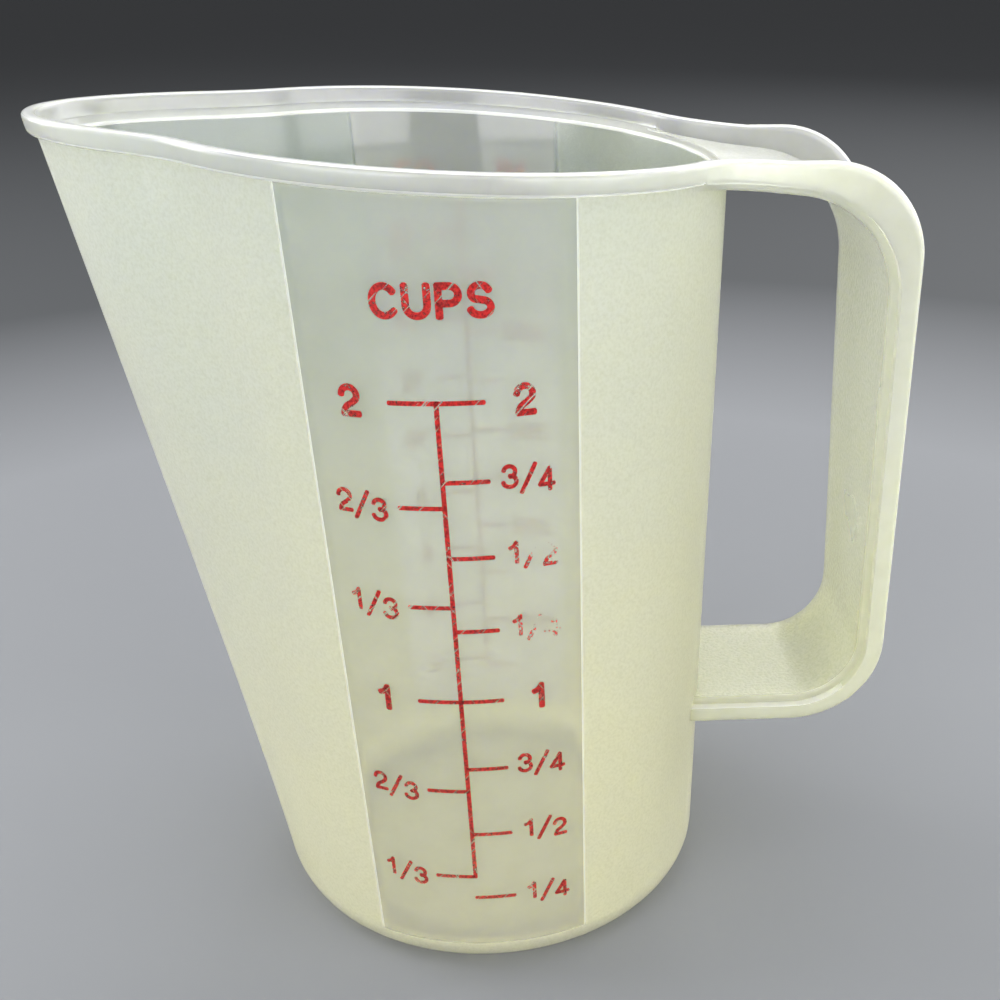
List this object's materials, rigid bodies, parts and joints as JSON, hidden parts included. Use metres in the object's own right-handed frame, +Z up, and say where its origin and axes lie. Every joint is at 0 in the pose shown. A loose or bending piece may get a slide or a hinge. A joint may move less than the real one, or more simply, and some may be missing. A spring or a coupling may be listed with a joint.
{
  "type": "measuring jug",
  "caption": "Translucent moulded measuring jug with a long pouring lip, a stepped rim that runs on into an open strap handle, and printed volume scales front and rear.",
  "frame": {"origin": "middle of the flat underside, on the table", "axes": "+X towards the handle, so the spout points to -X; the cup scale faces -Y; +Z up"},
  "size_m": [0.1328, 0.088, 0.1363],
  "materials": {
    "frosted_plastic": "fine-grain frosted polypropylene, translucent",
    "polished_plastic": "polished polypropylene, translucent",
    "scale_ink": "worn red printing ink"
  },
  "bodies": {
    "root": {"base_floor": "polished_plastic", "front_panel": "polished_plastic", "rear_panel": "polished_plastic", "spout_wall": "frosted_plastic", "handle_side_wall": "frosted_plastic", "spout_lip": "polished_plastic", "rim_front": "polished_plastic", "rim_rear": "polished_plastic", "handle_root": "polished_plastic", "handle_web": "frosted_plastic", "handle_band_front": "polished_plastic", "handle_band_rear": "polished_plastic", "front_scale": "scale_ink", "front_quarter_mark": "scale_ink", "rear_scale": "scale_ink"}
  },
  "joints": []
}
